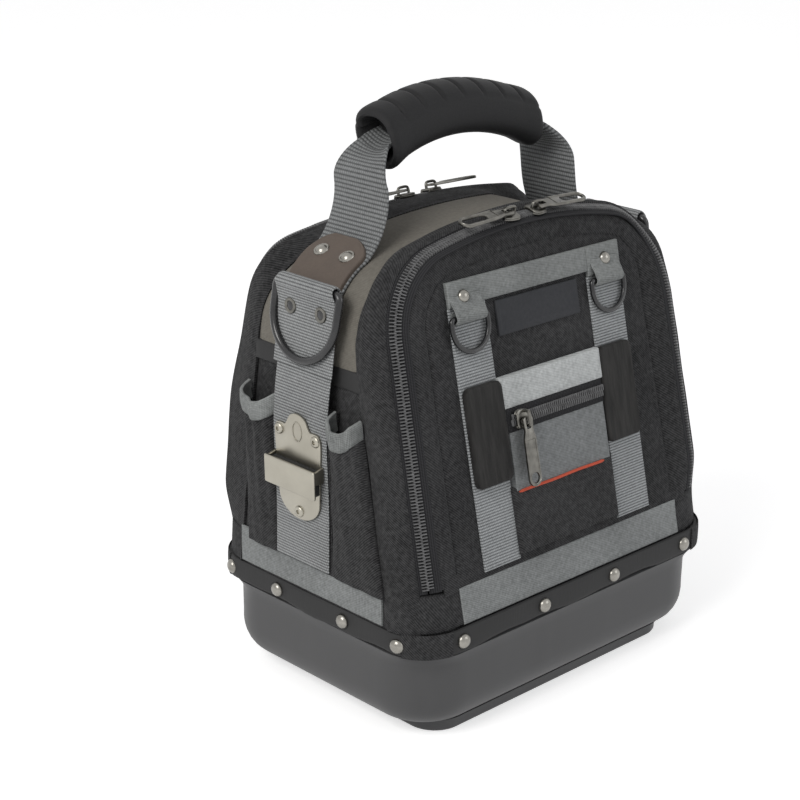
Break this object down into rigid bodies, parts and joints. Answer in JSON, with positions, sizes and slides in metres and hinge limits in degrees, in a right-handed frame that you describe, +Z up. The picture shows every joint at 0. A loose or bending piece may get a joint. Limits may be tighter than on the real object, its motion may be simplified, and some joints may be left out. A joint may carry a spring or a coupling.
{
  "type": "zippered tool bag",
  "caption": "Compact fabric tool bag on a moulded tub: arched zipped doors front and back, inner tool pockets, side pockets, D-rings, tape clip and a padded carry handle.",
  "frame": {"origin": "middle of the foot's underside, which stands on the floor", "axes": "+Z up, +X along the front to the right as seen from the front, +Y from the front face to the back"},
  "size_m": [0.2738, 0.1818, 0.3366],
  "materials": {
    "tub": "satin moulded",
    "trim": "smooth",
    "rivet_metal": "satin nickel",
    "clip_metal": "satin nickel",
    "black_metal": "semi-gloss black",
    "black_fabric": "coarse woven",
    "shell_fabric": "coarse woven",
    "webbing": "ribbed webbing",
    "leather": "smooth",
    "black_board": "matt",
    "grip": "leathery"
  },
  "bodies": {
    "bag": {"base_tub": "tub", "base_trim": "trim", "base_rivet_01": "rivet_metal", "base_rivet_02": "rivet_metal", "base_rivet_03": "rivet_metal", "base_rivet_04": "rivet_metal", "base_rivet_05": "rivet_metal", "base_rivet_06": "rivet_metal", "base_rivet_07": "rivet_metal", "base_rivet_08": "rivet_metal", "base_rivet_09": "rivet_metal", "base_rivet_10": "rivet_metal", "base_rivet_11": "rivet_metal", "base_rivet_12": "rivet_metal", "base_rivet_13": "rivet_metal", "base_rivet_14": "rivet_metal", "base_rivet_15": "rivet_metal", "base_rivet_16": "rivet_metal", "body_shell": "shell_fabric", "centre_panel": "black_board", "front_tool_pockets": "black_fabric", "back_tool_pockets": "black_fabric", "left_side_pocket": "black_fabric", "left_side_strap": "webbing", "left_handle_leg": "webbing", "left_handle_patch": "leather", "right_side_pocket": "black_fabric", "right_side_strap": "webbing", "right_handle_leg": "webbing", "right_handle_patch": "leather", "tape_clip": "clip_metal", "front_zip_fixed": "black_fabric", "back_zip_fixed": "black_fabric"},
    "front_door": {"front_door": "black_fabric", "front_door_zip": "black_fabric", "front_webbing": "webbing", "front_zip_pocket": "black_fabric", "front_label": "black_board"},
    "back_door": {"back_door": "black_fabric", "back_door_zip": "black_fabric", "back_webbing": "webbing", "back_pocket": "black_fabric"},
    "handle": {"handle_webbing": "webbing", "handle_grip": "grip"},
    "left_d_ring": {"left_d_ring": "black_metal"},
    "right_d_ring": {"right_d_ring": "black_metal"},
    "front_left_slider": {"front_left_slider": "black_metal"},
    "front_left_pull": {"front_left_pull": "black_metal"},
    "front_left_ring": {"front_left_ring": "black_metal"},
    "front_right_slider": {"front_right_slider": "black_metal"},
    "front_right_pull": {"front_right_pull": "black_metal"},
    "front_right_ring": {"front_right_ring": "black_metal"},
    "back_left_slider": {"back_left_slider": "black_metal"},
    "back_left_pull": {"back_left_pull": "black_metal"},
    "back_left_ring": {"back_left_ring": "black_metal"},
    "back_right_slider": {"back_right_slider": "black_metal"},
    "back_right_pull": {"back_right_pull": "black_metal"},
    "back_right_ring": {"back_right_ring": "black_metal"},
    "pocket_slider": {"pocket_slider": "black_metal"},
    "pocket_pull": {"pocket_pull": "black_metal"}
  },
  "joints": [
    {"name": "front_door_hinge", "type": "hinge", "parent": "bag", "child": "front_door", "pos_m": [0, -0.0802, 0.09], "axis": [1, 0, 0], "range_deg": [0, 120]},
    {"name": "back_door_hinge", "type": "hinge", "parent": "bag", "child": "back_door", "pos_m": [0, 0.084, 0.09], "axis": [-1, 0, 0], "range_deg": [0, 120]},
    {"name": "handle_swing", "type": "hinge", "parent": "bag", "child": "handle", "pos_m": [0, 0.01372, 0.284], "axis": [1, 0, 0], "range_deg": [-14, 50], "stiffness_Nm_per_rad": 0.3, "deforming": ["left_handle_leg", "right_handle_leg"]},
    {"name": "left_d_ring_swing", "type": "hinge", "parent": "bag", "child": "left_d_ring", "pos_m": [-0.12247, 0.002, 0.244], "axis": [0, 1, 0], "range_deg": [0, 150]},
    {"name": "right_d_ring_swing", "type": "hinge", "parent": "bag", "child": "right_d_ring", "pos_m": [0.12247, 0.002, 0.244], "axis": [0, -1, 0], "range_deg": [0, 150]},
    {"name": "front_left_slider_run", "type": "hinge", "parent": "front_door", "child": "front_left_slider", "pos_m": [0, -0.11128, -0.06241], "axis": [0, -0.9744, 0.225], "range_deg": [0, 5.73]},
    {"name": "front_left_pull_flip", "type": "hinge", "parent": "front_left_slider", "child": "front_left_pull", "pos_m": [-0.01114, -0.03608, 0.27333], "axis": [-0.0152, 0.9657, 0.2591], "range_deg": [0, 100]},
    {"name": "front_left_ring_swing", "type": "hinge", "parent": "front_door", "child": "front_left_ring", "pos_m": [-0.056, -0.05241, 0.22727], "axis": [-1, 0, 0], "range_deg": [0, 150]},
    {"name": "front_right_slider_run", "type": "hinge", "parent": "front_door", "child": "front_right_slider", "pos_m": [0, -0.11128, -0.06241], "axis": [0, 0.9744, -0.225], "range_deg": [0, 5.73]},
    {"name": "front_right_pull_flip", "type": "hinge", "parent": "front_right_slider", "child": "front_right_pull", "pos_m": [0.01114, -0.03608, 0.27333], "axis": [-0.0152, -0.9657, -0.2591], "range_deg": [0, 100]},
    {"name": "front_right_ring_swing", "type": "hinge", "parent": "front_door", "child": "front_right_ring", "pos_m": [0.056, -0.05241, 0.22727], "axis": [-1, 0, 0], "range_deg": [0, 150]},
    {"name": "back_left_slider_run", "type": "hinge", "parent": "back_door", "child": "back_left_slider", "pos_m": [0, 0.26739, 0.00737], "axis": [0, -0.7581, -0.6521], "range_deg": [0, 5.73]},
    {"name": "back_left_pull_flip", "type": "hinge", "parent": "back_left_slider", "child": "back_left_pull", "pos_m": [-0.01109, 0.04703, 0.26964], "axis": [0.0267, 0.9656, -0.2585], "range_deg": [0, 100]},
    {"name": "back_left_ring_swing", "type": "hinge", "parent": "back_door", "child": "back_left_ring", "pos_m": [-0.056, 0.07384, 0.23028], "axis": [1, 0, 0], "range_deg": [0, 150]},
    {"name": "back_right_slider_run", "type": "hinge", "parent": "back_door", "child": "back_right_slider", "pos_m": [0, 0.26739, 0.00737], "axis": [0, 0.7581, 0.6521], "range_deg": [0, 5.73]},
    {"name": "back_right_pull_flip", "type": "hinge", "parent": "back_right_slider", "child": "back_right_pull", "pos_m": [0.01109, 0.04703, 0.26964], "axis": [0.0267, -0.9656, 0.2585], "range_deg": [0, 100]},
    {"name": "back_right_ring_swing", "type": "hinge", "parent": "back_door", "child": "back_right_ring", "pos_m": [0.056, 0.07384, 0.23028], "axis": [1, 0, 0], "range_deg": [0, 150]},
    {"name": "pocket_slider_run", "type": "slide", "parent": "front_door", "child": "pocket_slider", "axis": [1, 0, 0], "range_m": [0, 0.064]},
    {"name": "pocket_pull_flip", "type": "hinge", "parent": "pocket_slider", "child": "pocket_pull", "pos_m": [-0.032, -0.07268, 0.16883], "axis": [-1, 0, 0], "range_deg": [0, 150]}
  ]
}
